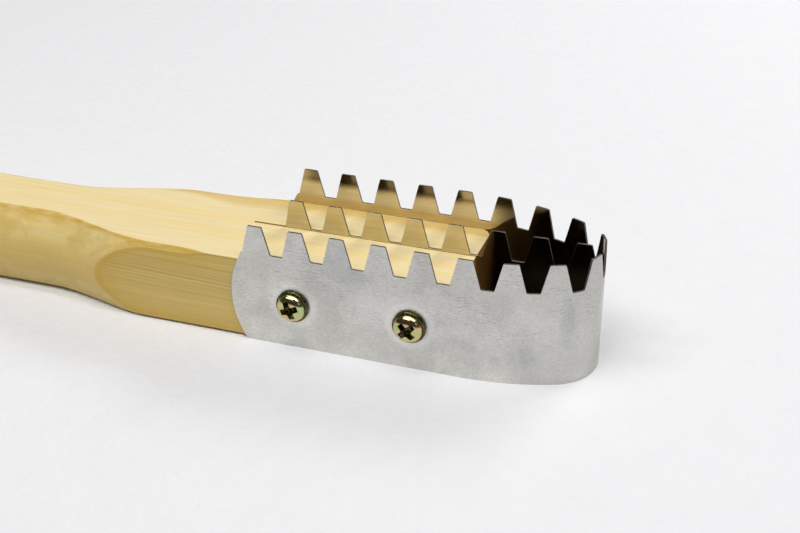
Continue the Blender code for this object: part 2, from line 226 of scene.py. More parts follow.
class Tree:
    """Short ways to place and join the nodes of one material or node group."""

    def __init__(self, node_tree):
        self.tree = node_tree

    def add(self, kind, feeds=None, **settings):
        """A new node with its settings, and with the sockets named in feeds fed."""
        node = self.tree.nodes.new(kind)
        for name, value in settings.items():
            setattr(node, name, value)
        for name, value in (feeds or {}).items():
            self.feed(node.inputs[name], value)
        return node

    def feed(self, socket, value):
        """Join the socket to another one, or set a plain value on it."""
        if isinstance(value, bpy.types.NodeSocket):
            self.tree.links.new(value, socket)
        else:
            socket.default_value = value

    def math(self, operation, first, second=None, clamp=False):
        node = self.add("ShaderNodeMath", operation=operation, use_clamp=clamp)
        self.feed(node.inputs[0], first)
        if second is not None:
            self.feed(node.inputs[1], second)
        return node.outputs[0]

    def in_turn(self, operation, values):
        """The values taken together one after another."""
        result = values[0]
        for value in values[1:]:
            result = self.math(operation, result, value)
        return result

    def times(self, *values):
        """The product of the values."""
        return self.in_turn("MULTIPLY", values)

    def plus(self, *values):
        """The sum of the values."""
        return self.in_turn("ADD", values)

    def most(self, *values):
        """The greatest of the values."""
        return self.in_turn("MAXIMUM", values)

    def minus(self, first, second):
        return self.math("SUBTRACT", first, second)

    def over(self, first, second):
        return self.math("DIVIDE", first, second)

    def vector(self, operation, first, second=None):
        node = self.add("ShaderNodeVectorMath", operation=operation)
        self.feed(node.inputs[0], first)
        if second is not None:
            self.feed(node.inputs[1], second)
        return node.outputs["Value" if operation == "LENGTH" else "Vector"]

    def millimetres(self):
        """The piece's own position in millimetres."""
        place = self.add("ShaderNodeTexCoord").outputs["Object"]
        return self.vector("MULTIPLY", place, (1000, 1000, 1000))

    def normal(self):
        """The parts of the surface's normal."""
        return self.split(self.add("ShaderNodeNewGeometry").outputs["Normal"])

    def split(self, vector):
        return self.add("ShaderNodeSeparateXYZ", {"Vector": vector}).outputs

    def join(self, x, y, z):
        return self.add("ShaderNodeCombineXYZ", {"X": x, "Y": y, "Z": z}).outputs["Vector"]

    def length(self, x, y, z):
        return self.vector("LENGTH", self.join(x, y, z))

    def noise(self, vector, stretch, detail=3.0, roughness=0.5, distortion=0.0):
        """Noise from 0 to 1, with stretch as the number of patches per millimetre along each axis."""
        feeds = {"Vector": self.vector("MULTIPLY", vector, stretch), "Scale": 1.0, "Detail": detail,
                 "Roughness": roughness, "Distortion": distortion}
        return self.add("ShaderNodeTexNoise", feeds).outputs["Fac"]

    def between(self, value, start, end, low=0.0, high=1.0, smooth=True):
        """low before start, high after end."""
        feeds = {"Value": value, "From Min": start, "From Max": end, "To Min": low, "To Max": high}
        kind = "SMOOTHSTEP" if smooth else "LINEAR"
        return self.add("ShaderNodeMapRange", feeds, interpolation_type=kind).outputs["Result"]

    def fade(self, value, start, end):
        """1 before start, 0 after end."""
        return self.between(value, start, end, 1.0, 0.0)

    def hump(self, value, start, full, last, end):
        """0 before start and after end, 1 from full to last."""
        return self.times(self.between(value, start, full), self.fade(value, last, end))

    def scale(self, mask, low, high):
        """low where the mask is 0, high where it is 1."""
        return self.between(mask, 0.0, 1.0, low, high)

    def mix(self, share, first, second, blend="MIX"):
        node = self.add("ShaderNodeMix", data_type="RGBA", blend_type=blend)
        self.feed(node.inputs[0], share)
        self.feed(node.inputs[6], first)
        self.feed(node.inputs[7], second)
        return node.outputs[2]

    def coats(self, base, *layers):
        """The base under its layers, each given as (share, colour)."""
        for share, colour in layers:
            base = self.mix(share, base, colour)
        return base

    def bump(self, height, distance, strength, normal=None):
        feeds = {"Height": height, "Distance": distance, "Strength": strength}
        if normal is not None:
            feeds["Normal"] = normal
        return self.add("ShaderNodeBump", feeds).outputs["Normal"]

    def group(self, name, make, **feeds):
        """The outputs of a node group, which is made the first time it is asked for."""
        made = bpy.data.node_groups.get(name) or make(name)
        return self.add("ShaderNodeGroup", feeds, node_tree=made).outputs

    def clouds(self, place, size, contrast):
        """Soft patches of a size in millimetres."""
        return self.group("Clouds", make_clouds, Position=place, Size=size, Contrast=contrast)["Mask"]

    def scratches(self, place, fineness, share=1.0):
        """The height of fine lines, as many per millimetre as the fineness, and the mask of stray ones."""
        lines = self.group("Scratches", make_scratches, Position=place, Fineness=fineness, Amount=share)
        return lines["Height"], lines["Mask"]

    def dress(self, colour, roughness, normal=None, metallic=0.0):
        """Join the finished surface to the material's shader."""
        shader = self.tree.nodes["Principled BSDF"]
        self.feed(shader.inputs["Base Color"], colour)
        self.feed(shader.inputs["Roughness"], roughness)
        if normal is not None:
            self.feed(shader.inputs["Normal"], normal)
        shader.inputs["Metallic"].default_value = metallic


def rgba(values, *factors):
    """A colour with full alpha, scaled by one factor or by one for each channel."""
    factors = factors if len(factors) == 3 else (factors or (1.0,)) * 3
    return (*(value * factor for value, factor in zip(values, factors)), 1.0)


def new_material(name):
    """An empty Principled material, its node tree and the surface's place in millimetres."""
    material = bpy.data.materials.new(name)
    material.use_nodes = True
    tree = Tree(material.node_tree)
    return material, tree, tree.millimetres()


def new_group(name, inputs, outputs):
    """An empty node group with named sockets, its tree, its input sockets and its output node."""
    group = bpy.data.node_groups.new(name, "ShaderNodeTree")
    for label, kind, default in inputs:
        socket = group.interface.new_socket(name=label, in_out="INPUT", socket_type="NodeSocket" + kind)
        if default is not None:
            socket.default_value = default
    for label in outputs:
        group.interface.new_socket(name=label, in_out="OUTPUT", socket_type="NodeSocketFloat")
    tree = Tree(group)
    return group, tree, tree.add("NodeGroupInput").outputs, tree.add("NodeGroupOutput").inputs


def make_clouds(name):
    """Soft patches, as rubbing and handling leave on metal, wood and paper."""
    inputs = [("Position", "Vector", None), ("Size", "Float", 10.0), ("Contrast", "Float", 0.5)]
    group, tree, given, out = new_group(name, inputs, ["Mask"])
    size = tree.join(given["Size"], given["Size"], given["Size"])
    place = tree.vector("DIVIDE", given["Position"], size)
    noise = tree.noise(place, (1, 1, 1), detail=4, roughness=0.55, distortion=0.4)
    spread = tree.times(tree.minus(noise, 0.5), tree.times(given["Contrast"], 4.0))
    tree.feed(out["Mask"], tree.math("ADD", spread, 0.5, clamp=True))
    return group


def make_scratches(name):
    """Fine lines in two slightly different directions, as rolling and wiping leave on sheet metal."""
    inputs = [("Position", "Vector", None), ("Fineness", "Float", 6.0), ("Amount", "Float", 1.0)]
    group, tree, given, out = new_group(name, inputs, ["Height", "Mask"])
    x, y, z = tree.split(given["Position"])
    along = tree.plus(x, y)
    lean = tree.plus(z, tree.times(along, 0.06))
    rolled = tree.join(tree.times(along, 0.12), 0.0, tree.times(lean, given["Fineness"]))
    fine = tree.noise(rolled, (1, 1, 1), detail=2)
    slope = tree.minus(z, tree.times(along, 0.35))
    wiped = tree.join(tree.times(along, 0.25), 7.0, tree.times(slope, given["Fineness"]))
    stray = tree.between(tree.noise(wiped, (1, 1, 1), detail=1), 0.66, 0.72)
    height = tree.minus(fine, tree.times(stray, 0.5))
    tree.feed(out["Height"], tree.times(height, given["Amount"]))
    tree.feed(out["Mask"], tree.math("MULTIPLY", stray, given["Amount"], clamp=True))
    return group


# --- Wood -----------------------------------------------------------------------------------------

# Where the oval widens from grip to neck and from neck to block, in millimetres along the handle
NECK_SPAN = (-20.0, 14.0)
SHOULDER_SPAN = (20.0, 42.0)

# How far the block's flat sides lie inside the band's outer faces
SIDE_INSET = 0.52 * MM

# The heart of the tree, which the growth rings go round, and the width of a ring in millimetres
HEART_Y, HEART_Z = -27.0, -65.0
RING_WIDTH = 0.85


def late_wood(tree, place):
    """The darker part of each growth ring. The rings wander slowly along the handle."""
    x, y, z = tree.split(place)
    wander = tree.times(tree.minus(tree.noise(place, (0.005, 0.04, 0.04)), 0.5), 6.0)
    from_heart = tree.length(0.0, tree.minus(y, HEART_Y), tree.minus(z, HEART_Z))
    depth = tree.plus(from_heart, wander, tree.times(x, 0.012))
    uneven = tree.noise(tree.join(0.0, 0.0, depth), (1, 1, 0.5), detail=2)
    phase = tree.plus(tree.over(depth, RING_WIDTH), tree.times(uneven, 1.4))
    ring = tree.math("FRACT", phase)
    number = tree.math("FLOOR", phase)
    strength = tree.add("ShaderNodeTexWhiteNoise", {"W": number}, noise_dimensions="1D").outputs["Value"]
    return tree.times(tree.hump(ring, 0.25, 0.82, 0.86, 1.0), tree.scale(strength, 0.25, 1.0))


def oval_depth(tree, s, place):
    """How far the surface lies inside the oval that shaped the plank, in millimetres."""
    x, y, z = tree.split(place)
    from_swell = tree.math("ABSOLUTE", tree.minus(x, s.swell_x / MM))
    half = tree.plus(tree.between(from_swell, 0.0, s.swell_reach / MM, s.swell / MM, 0.0), s.grip / MM,
                     tree.between(x, *NECK_SPAN, 0.0, s.neck / MM),
                     tree.between(x, *SHOULDER_SPAN, 0.0, s.shoulder / MM))
    reach_y = tree.over(tree.minus(y, s.body_y / MM), half)
    reach_z = tree.over(tree.minus(z, s.body_z / MM), tree.times(half, s.aspect))
    return tree.times(tree.minus(1.0, tree.length(0.0, reach_y, reach_z)), half)


def golden_stain_and_shadow(tree, place, streak, inside, on_oval, upright):
    """Stain under the upper edges, round the flat sides and near the lower edge, and a painted shadow in a
    soft ring next to the band.
    """
    x, y, z = tree.split(place)
    patch = tree.noise(place, (0.06, 0.20, 0.26), detail=5, roughness=0.65)
    fleck = tree.between(tree.noise(place, (0.22, 0.6, 0.8)), 0.34, 0.66)
    below_top = tree.minus(HANDLE_HIGH.z / MM, z)
    under_edge = tree.fade(tree.over(below_top, tree.between(patch, 0.34, 0.70, 1.4, 6.5)), -0.1, 1.0)
    under_edge = tree.times(under_edge, on_oval, tree.scale(fleck, 0.6, 1.0))
    line = tree.times(tree.between(inside, 0.05, 0.6, 0.38, 0.0), tree.between(inside, 0.0, 0.06))
    rim = tree.plus(line, tree.between(inside, 0.1, 2.8, 0.42, 0.0))
    rim = tree.times(rim, upright, tree.fade(x, 34.0, 40.0))
    # Painted shadow: a soft ring on the oval just inside the flat sides, below the top
    from_side = tree.minus((BAND_HIGH.y - SIDE_INSET) / MM, tree.math("ABSOLUTE", y))
    painted_shadow_ring = tree.times(tree.hump(from_side, 0.25, 0.7, 0.8, 1.5), on_oval, tree.fade(z, 18.0, 20.0),
                        tree.between(patch, 0.35, 0.65, 0.08, 0.42))
    low_edge = tree.times(tree.fade(z, 0.8, 6.5), tree.between(patch, 0.30, 0.60, 0.3, 1.0), 0.55)
    # On the far edge the stain is a wedge that widens towards the block
    wedge = tree.plus(tree.between(x, 4.0, 34.0, 0.8, 4.0), tree.times(patch, 1.2))
    from_far = tree.math("MINIMUM", tree.minus(HANDLE_HIGH.y / MM, y), inside)
    far_edge = tree.times(tree.fade(tree.over(from_far, wedge), 0.55, 1.25), tree.scale(streak, 0.6, 1.0),
                          tree.between(x, 0.0, 10.0), tree.between(y, 0.0, 5.0), 0.80)
    mottle = tree.times(tree.clouds(place, 7.0, 1.0), on_oval, 0.46)
    return tree.most(under_edge, rim, low_edge, far_edge, painted_shadow_ring, mottle)


def make_wood(s):
    """Pale straight-grained wood with painted shade that makes its sides darker and more golden, and stained
    along its edges.
    """
    material, tree, place = new_material("pale_wood")
    normal = tree.normal()
    late = late_wood(tree, place)
    fibre = tree.noise(place, (0.07, 3.6, 3.6), detail=5, roughness=0.65)
    streak = tree.between(tree.noise(place, (0.006, 0.36, 0.36)), 0.46, 0.68)
    inside = oval_depth(tree, s, place)
    on_oval = tree.fade(inside, 0.04, 0.22)
    upright = tree.between(tree.math("ABSOLUTE", normal[1]), 0.90, 0.99)
    stain = golden_stain_and_shadow(tree, place, streak, inside, on_oval, upright)
    # Painted shade: the sides, picked out by their normal, and the block's flat sides take darker, more
    # golden copies of the top's wood
    side = tree.fade(normal[2], 0.55, 0.93)
    flat_side = tree.times(upright, tree.between(inside, 0.04, 0.3))
    flat_lines = tree.times(flat_side, tree.between(tree.split(place)[2], 6.0, 15.0, 0.35, 1.0))
    scuff = tree.between(tree.noise(place, (0.10, 0.22, 0.22), detail=5, roughness=0.7), 0.50, 0.72)
    end_grain = tree.between(normal[0], 0.6, 0.9)
    base = tree.coats(
        rgba(s.face),
        (side, rgba(s.shaded_flank)),
        (tree.times(flat_side, 0.85), rgba(s.shaded_flank, 0.92, 0.835, 0.57)),
        (tree.times(late, 0.34), rgba(s.streak)),
        (tree.times(late, flat_lines, 0.68), rgba(s.late)),
        (tree.times(streak, 0.45), rgba(s.streak)),
        (tree.times(scuff, on_oval, 0.55, side), rgba(s.face)),
        # The stain's mask also carries the painted shadow ring
        (stain, rgba(s.stain)),
        (tree.times(end_grain, 0.8), rgba(s.late, 1.35, 0.95, 0.7)))
    shades = [tree.between(fibre, 0.25, 0.75, low, high, smooth=False)
              for low, high in ((0.93, 1.05), (0.90, 1.065), (0.80, 1.11))]
    base = tree.mix(1.0, base, tree.join(*shades), blend="MULTIPLY")
    height = tree.plus(fibre, tree.times(late, 0.6))
    tree.dress(base, tree.between(fibre, 0.2, 0.8, 0.44, 0.62), tree.bump(height, 0.05 * MM, 0.5))
    return material


# --- Metal and paper ------------------------------------------------------------------------------

# Dull handling marks on the near face of the band: (x, z, half width, half height) in millimetres
THUMB_MARKS = ((64.0, 24.0, 7.0, 5.5), (106.4, 7.3, 2.2, 4.0), (114.5, 17.0, 1.8, 7.0))

# A wiped ring's start, full strength and end, in millimetres from the screw's axis
RING_REACH = (4.1, 4.8, 5.2, 6.8)

# The row of tips with a painted dark reflection, in millimetres behind the block's front end: where it
# starts at the rear, and where it fades out towards the nose
TIPS_REAR = (50.0, 45.5)
TIPS_FRONT = (12.0, 4.0)


def screw_axes():
    """(x, z) of each pair of screws, which share one line across the block."""
    middles = [(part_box(node)[0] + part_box(node)[1]) / 2 for node in SCREW_NODES[:2]]
    return [(middle.x, middle.z) for middle in middles]


def thumb_marks(tree, place):
    """Dull patches that handling has left on the near face."""
    x, y, z = tree.split(place)
    ragged = tree.times(tree.minus(tree.noise(place, (0.3, 0.3, 0.3)), 0.5), 1.3)
    spots = []
    for spot_x, spot_z, wide, tall in THUMB_MARKS:
        away = tree.length(tree.over(tree.minus(x, spot_x), wide), 0.0,
                           tree.over(tree.minus(z, spot_z), tall))
        spots.append(tree.fade(tree.plus(away, ragged), 0.4, 1.1))
    return tree.times(tree.most(*spots), tree.fade(y, 0.0, 1.0))


def wiped_rings(tree, place):
    """Rings wiped clean round the screw heads."""
    x, _, z = tree.split(place)
    rings = []
    for screw_x, screw_z in screw_axes():
        away = tree.length(tree.minus(x, screw_x / MM), 0.0, tree.minus(z, screw_z / MM))
        rings.append(tree.hump(away, *RING_REACH))
    return tree.most(*rings)


def rubbing_marks(tree, place):
    """Short, broken, wavy lines, strongest just below the teeth."""
    x, _, z = tree.split(place)
    sway = tree.times(tree.noise(place, (0.13, 0.13, 0.09)), 7.0)
    line = tree.plus(z, tree.times(x, -0.12), sway)
    ragged = tree.times(tree.noise(place, (0.9, 0.9, 1.8)), 5.0)
    wave = tree.math("SINE", tree.plus(tree.times(line, 7.5), ragged))
    patchy = tree.between(tree.noise(place, (0.10, 0.10, 0.16)), 0.38, 0.56)
    broken = tree.between(tree.noise(place, (0.45, 0.45, 0.9), detail=2), 0.40, 0.60)
    return tree.times(tree.between(wave, 0.35, 1.0), tree.between(z, 6.0, 20.0, 0.15, 1.0), patchy, broken)


def make_outer_steel(s):
    """Rubbed, slightly wavy steel of the band's outer face, with painted shade round the nose."""
    material, tree, place = new_material("rubbed_steel")
    x, _, z = tree.split(place)
    cloud, speck = tree.clouds(place, 9.0, 0.8), tree.clouds(place, 0.5, 0.8)
    lines, stray = tree.scratches(place, 5.0)
    marks = rubbing_marks(tree, place)
    ring = wiped_rings(tree, place)
    base = tree.coats(
        rgba(s.outside, 1.04),
        (tree.scale(cloud, 0.0, 0.8), rgba(s.outside, 0.84)),
        (tree.times(speck, 0.30), rgba(s.outside, 0.7)),
        (tree.between(z, 14.0, 22.0, 0.0, 0.5), rgba(s.outside, 0.76)),
        # Painted shade round the bend of the nose
        (tree.between(x, 96.0, 117.0, 0.0, 0.75), rgba(s.outside, 0.76)),
        (tree.times(ring, 0.45), rgba(s.outside, 1.14)),
        (tree.times(thumb_marks(tree, place), 0.42), rgba(s.outside, 0.56, 0.585, 0.65)),
        (tree.times(marks, 0.80), rgba(s.outside, 0.58)))
    grain = tree.noise(place, (1.6, 1.6, 2.6), detail=4, roughness=0.7)
    shade = tree.between(grain, 0.30, 0.70, 0.86, 1.10, smooth=False)
    base = tree.mix(1.0, base, tree.join(shade, shade, shade), blend="MULTIPLY")
    base = tree.mix(tree.times(stray, 0.25), base, rgba(s.outside, 0.5))
    rough = tree.plus(tree.scale(cloud, 0.36, 0.46), tree.times(ring, -0.06))
    waves = tree.bump(tree.noise(place, (0.06, 0.06, 0.05), detail=1), 0.35 * MM, 0.5)
    fine = tree.plus(tree.times(marks, 0.4), lines)
    tree.dress(base, rough, tree.bump(fine, 0.01 * MM, 0.6, waves), metallic=1.0)
    return material


def painted_tip_reflection(tree, place, tip_z):
    """Painted dark reflection on the tips of the far teeth, where they mirror the shaded back of the blade,
    most of all in mid-row.
    """
    x, y, z = tree.split(place)
    front = HANDLE_HIGH.x / MM
    uneven = tree.times(tree.noise(tree.join(x, 0.0, 0.0), (0.07, 1, 1), detail=1), 1.6)
    above = tree.minus(tree.plus(z, uneven), tip_z / MM)
    return tree.times(tree.between(above, -1.9, 0.0, 0.0, 0.80), tree.between(y, 5.0, 8.0),
                      tree.between(x, front - TIPS_REAR[0], front - TIPS_REAR[1], 0.25, 1.0),
                      tree.between(x, front - TIPS_FRONT[0], front - TIPS_FRONT[1], 1.0, 0.35))


def make_bright_steel(name, shade, tip_z=None):
    """Bright rolled steel, which mirrors the wood, with painted shade down in the nose and on faces turned
    towards +Y.
    """
    material, tree, place = new_material(name)
    cloud = tree.clouds(place, 6.0, 0.7)
    lines, stray = tree.scratches(place, 7.0)
    rolled = tree.between(tree.noise(place, (0.05, 1.0, 2.2)), 0.35, 0.65)
    base = tree.coats(
        rgba(shade),
        (tree.scale(cloud, 0.0, 0.4), rgba(shade, 0.8)),
        (tree.times(stray, 0.3), rgba(shade, 0.55)),
        (tree.times(rolled, 0.5), rgba(shade, 0.84, 0.80, 0.70)))
    if tip_z is not None:
        # Painted dark reflection on the tips of the far teeth
        base = tree.mix(painted_tip_reflection(tree, place, tip_z), base, rgba(shade, 0.13, 0.10, 0.08))
    # Painted shade down in the nose, and on faces turned towards +Y, away from the wood, where there is
    # little to mirror
    front = HANDLE_HIGH.x / MM
    base = tree.coats(
        base,
        (tree.between(tree.split(place)[0], front - 2.0, front + 5.0, 0.0, 0.9), rgba(shade, 0.14)),
        (tree.between(tree.normal()[1], 0.4, 0.8, 0.0, 0.95), rgba(shade, 0.15)))
    waves = tree.bump(tree.noise(place, (0.06, 0.06, 0.06), detail=1), 0.3 * MM, 0.4)
    tree.dress(base, tree.scale(cloud, 0.07, 0.13), tree.bump(lines, 0.01 * MM, 0.5, waves), metallic=1.0)
    return material


def make_sheared_steel(shade):
    """The dull broken surface that the punch leaves on the sheet's edge."""
    material, tree, place = new_material("sheared_edge")
    torn = tree.noise(place, (3.0, 3.0, 0.8))
    base = tree.mix(tree.between(torn, 0.3, 0.7), rgba(shade), rgba(shade, 2.0))
    rough = tree.between(torn, 0.2, 0.8, 0.52, 0.70)
    tree.dress(base, rough, tree.bump(torn, 0.04 * MM, 0.6), metallic=1.0)
    return material


def make_zinc(s):
    """Yellow-green zinc plating with pink and orange patches."""
    material, tree, place = new_material("yellow_zinc")
    cloud, speck = tree.clouds(place, 2.6, 1.0), tree.clouds(place, 0.35, 0.8)
    lines, _ = tree.scratches(place, 9.0, 0.8)
    # The front screws are a warmer lot than the rear ones
    rear, front = (x / MM for x, _ in screw_axes())
    warm = tree.between(tree.split(place)[0], rear + 4.0, front - 4.0, 0.0, 0.22)
    base = tree.coats(
        rgba(s.plating),
        (tree.between(tree.plus(cloud, warm), 0.5, 0.95), rgba(s.blush)),
        (tree.between(cloud, 0.05, 0.40, 0.7, 0.0), rgba(s.plating, 0.80, 0.98, 1.25)),
        (tree.times(speck, 0.25), rgba(s.plating, 0.6)))
    tree.dress(base, tree.scale(speck, 0.08, 0.20), tree.bump(lines, 0.008 * MM, 0.5), metallic=1.0)
    return material


def make_painted_shade_zinc(s):
    """Painted shade and dark reflections in the cross recess and round the rim, as thin, dark plating with a
    film of dirt.
    """
    material, tree, place = new_material("painted_shade_zinc")
    shade_and_grime = tree.clouds(place, 0.6, 1.0)
    base = tree.mix(shade_and_grime, rgba(s.plating, 0.09, 0.07, 0.05), rgba(s.plating, 0.22))
    tree.dress(base, tree.scale(shade_and_grime, 0.18, 0.45), metallic=1.0)
    return material


def make_paper(shade):
    """Pale matt paper with a faint mottled surface."""
    material, tree, place = new_material("pale_paper")
    cloud = tree.clouds(place, 11.0, 0.6)
    base = tree.mix(tree.scale(cloud, 0.0, 0.5), rgba(shade), rgba(shade, 0.97))
    pulp = tree.noise(place, (0.22, 0.22, 0.22), detail=4, roughness=0.6)
    tree.dress(base, tree.scale(cloud, 0.85, 0.95), tree.bump(pulp, 0.8 * MM, 0.6))
    return material


# --- Mesh helpers ---------------------------------------------------------------------------------

# Faces round a screw hole, radii of the holes in steel and in wood, and reach of a drill
HOLE_SIDES = 32
STEEL_HOLE = 2.2 * MM
WOOD_HOLE = 2.15 * MM
DRILL_REACH = 40 * MM

# Rounding of outline corners: straight steps in each, the largest share of a side that one may
# take, and the turn below which a corner stays as it is
CORNER_STEPS = 3
CORNER_SHARE = 0.45
LEAST_TURN = 0.02


def add_piece(name, bm, materials):
    """Turn a bmesh into a named object with its materials."""
    bmesh.ops.recalc_face_normals(bm, faces=bm.faces)
    mesh = bpy.data.meshes.new(name)
    bm.to_mesh(mesh)
    bm.free()
    for material in materials:
        mesh.materials.append(material)
    piece = bpy.data.objects.new(name, mesh)
    bpy.context.scene.collection.objects.link(piece)
    return piece


def tube(bm, outlines):
    """Join outlines of equal count into a closed tube. The faces of its wall come back in order."""
    rings = [[bm.verts.new(corner) for corner in outline] for outline in outlines]
    wall = []
    for near, far in zip(rings, rings[1:]):
        for i in range(len(near)):
            j = (i + 1) % len(near)
            wall.append(bm.faces.new((near[i], near[j], far[j], far[i])))
    bm.faces.new(rings[0])
    bm.faces.new(rings[-1])
    return wall


def cut(piece, cutters):
    """Take the cutters out of the piece, then throw them away."""
    for cutter in cutters:
        modifier = piece.modifiers.new(cutter.name, "BOOLEAN")
        modifier.operation = "DIFFERENCE"
        modifier.solver = "EXACT"
        modifier.object = cutter
        modifier.material_mode = "TRANSFER"
    settle(piece)
    for cutter in cutters:
        bpy.data.objects.remove(cutter, do_unlink=True)


def settle(piece):
    """Make what the modifiers give the piece's own mesh."""
    evaluated = piece.evaluated_get(bpy.context.evaluated_depsgraph_get())
    mesh = bpy.data.meshes.new_from_object(evaluated)
    piece.modifiers.clear()
    piece.data = mesh


def soften(piece, width):
    """Round the sharp edges a little and shade the rest smooth."""
    bevel = piece.modifiers.new("edges", "BEVEL")
    bevel.width = width
    bevel.segments = 2
    bevel.limit_method = "ANGLE"
    bevel.angle_limit = math.radians(50)
    bevel.harden_normals = True
    piece.data.shade_smooth()
    settle(piece)


def shade_faces(piece, crease):
    """Shade the piece smooth, except across edges that turn by more than the crease in degrees."""
    piece.data.shade_smooth()
    piece.data.set_sharp_from_angle(angle=math.radians(crease))


def fit_to_frame(piece, node):
    """Let the piece stand for its CAD node and move with the frame."""
    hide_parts(node)
    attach(piece, "root")


def drills(radius, material):
    """A cutter along Y for each screw hole. The hole's wall takes the material."""
    cutters = []
    for x, z in screw_axes():
        bm = bmesh.new()
        bmesh.ops.create_cone(bm, cap_ends=True, segments=HOLE_SIDES, radius1=radius, radius2=radius,
                              depth=2 * DRILL_REACH)
        bmesh.ops.rotate(bm, verts=bm.verts, matrix=Matrix.Rotation(math.pi / 2, 3, "X"))
        bmesh.ops.translate(bm, verts=bm.verts, vec=(x, 0, z))
        cutters.append(add_piece("drill", bm, (material,)))
    return cutters


def rounded(points, radius, closed=False):
    """The polyline with each inner corner replaced by a small curve."""
    count = len(points)
    result = []
    for i, corner in enumerate(points):
        if not closed and i in (0, count - 1):
            result.append(corner)
            continue
        here = Vector(corner)
        back, ahead = Vector(points[i - 1]) - here, Vector(points[(i + 1) % count]) - here
        turn = math.pi - back.angle(ahead)
        if turn < LEAST_TURN:
            result.append(corner)
            continue
        reach = min(radius * math.tan(turn / 2), CORNER_SHARE * back.length, CORNER_SHARE * ahead.length)
        start, end = here + back.normalized() * reach, here + ahead.normalized() * reach
        for k in range(CORNER_STEPS + 1):
            t = k / CORNER_STEPS
            result.append(tuple(start * (1 - t) ** 2 + here * (2 * t * (1 - t)) + end * t ** 2))
    return result


def tooth_line(teeth, centre, foot_z):
    """The four corners of one tooth."""
    foot, tip = (teeth.pitch - teeth.valley) / 2, teeth.tip / 2
    tip_z = foot_z + teeth.height
    return [(centre - foot, foot_z), (centre - tip, tip_z), (centre + tip, tip_z), (centre + foot, foot_z)]


# --- Toothed band ---------------------------------------------------------------------------------

# Uprights in the curve of a rear end, how far the bend may reach along the strip from its middle,
# the longest steps along the bend and along the straight legs, and a height that counts as none
REAR_STEPS = 28
BEND_REACH = 50 * MM
BEND_STEP = 0.6 * MM
LEG_STEP = 3 * MM
NO_HEIGHT = 0.001 * MM


class BandPath:
    """The plan of the band's outer face, measured along the strip from its middle, + on the +Y side."""

    def __init__(self, s):
        half = (BAND_HIGH.y - BAND_LOW.y) / 2
        self.nose_x = BAND_HIGH.x
        self.crown = s.crown
        self.middle = s.middle
        self.sides = {}
        for side, sweep, width in ((-1, s.near_sweep, half + s.crown), (1, s.far_sweep, half - s.crown)):
            easing = (width - s.nose_radius * math.sin(sweep)) / (1 - math.sin(sweep))
            self.sides[side] = ((s.nose_radius, sweep), (easing, math.pi / 2 - sweep))

    def at(self, distance):
        """The (x, y) at a distance along the strip."""
        distance += self.middle
        side = 1 if distance > 0 else -1
        left = abs(distance)
        back, across, heading = 0.0, 0.0, 0.0
        for radius, sweep in self.sides[side]:
            turn = min(left / radius, sweep)
            across += radius * (math.sin(heading + turn) - math.sin(heading))
            back += radius * (math.cos(heading) - math.cos(heading + turn))
            heading += turn
            left = max(left - radius * sweep, 0)
        return self.nose_x - back - left, self.crown + side * across

    def reach(self, x, side):
        """The distance along the strip at which its straight leg on one side reaches x."""
        on_leg = side * BEND_REACH
        return on_leg + side * (self.at(on_leg)[0] - x)


def rear_end(s, path, side, middle_z):
    """The uprights of one round rear end, from its rearmost point forwards."""
    last = math.asin(middle_z / s.rear_radius)
    uprights = []
    for i in range(REAR_STEPS + 1):
        turn = last * i / REAR_STEPS
        x = BAND_LOW.x + s.rear_radius * (1 - math.cos(turn))
        half = s.rear_radius * math.sin(turn)
        uprights.append((path.reach(x, side), middle_z - half, middle_z + half))
    return uprights


def band_columns(s, teeth, path):
    """Every upright line of the flat strip, as (distance, lower z, upper z)."""
    foot_z = BAND_HIGH.z - teeth.height
    columns, far_end = [rear_end(s, path, side, (foot_z - s.ledge) / 2) for side in (-1, 1)]
    top = [(columns[-1][0], columns[-1][2])]
    for i in range(-s.teeth, s.teeth):
        top += tooth_line(teeth, (i + 0.5) * teeth.pitch, foot_z)
    top.append((far_end[-1][0], far_end[-1][2]))
    top = rounded(top, teeth.corner)
    for (a, za), (b, zb) in zip(top, top[1:]):
        parts = max(1, math.ceil((b - a) / (BEND_STEP if abs(a) < BEND_REACH else LEG_STEP)))
        for k in range(1, parts + 1):
            columns.append((a + (b - a) * k / parts, 0.0, za + (zb - za) * k / parts))
    return columns[:-1] + far_end[::-1]


def build_band(s, teeth):
    """Wrap the toothed strip round the block, thicken it inwards and drill it."""
    path = BandPath(s)
    bm = bmesh.new()
    previous = None
    for distance, low, high in band_columns(s, teeth, path):
        x, y = path.at(distance)
        # The rearmost upright of each end has no height and is one corner
        heights = (low, high) if high - low > NO_HEIGHT else (low,)
        column = [bm.verts.new((x, y, z)) for z in heights]
        if previous:
            bm.faces.new(previous[:1] + column + previous[:0:-1])
        previous = column
    # The far teeth carry a painted dark reflection on their tips
    inside = make_bright_steel("bright_steel_inside", s.inside, BAND_HIGH.z - s.tip_reflection_height)
    sheared = make_sheared_steel(s.sheared)
    band = add_piece("punched_band", bm, (make_outer_steel(s), inside, sheared))
    solidify = band.modifiers.new("sheet", "SOLIDIFY")
    solidify.thickness = teeth.sheet
    solidify.offset = -1
    solidify.use_even_offset = True
    solidify.material_offset = 1
    solidify.material_offset_rim = 2
    cut(band, drills(STEEL_HOLE, sheared))
    soften(band, teeth.edge)
    fit_to_frame(band, "toothed_band")


# --- Centre blade ---------------------------------------------------------------------------------

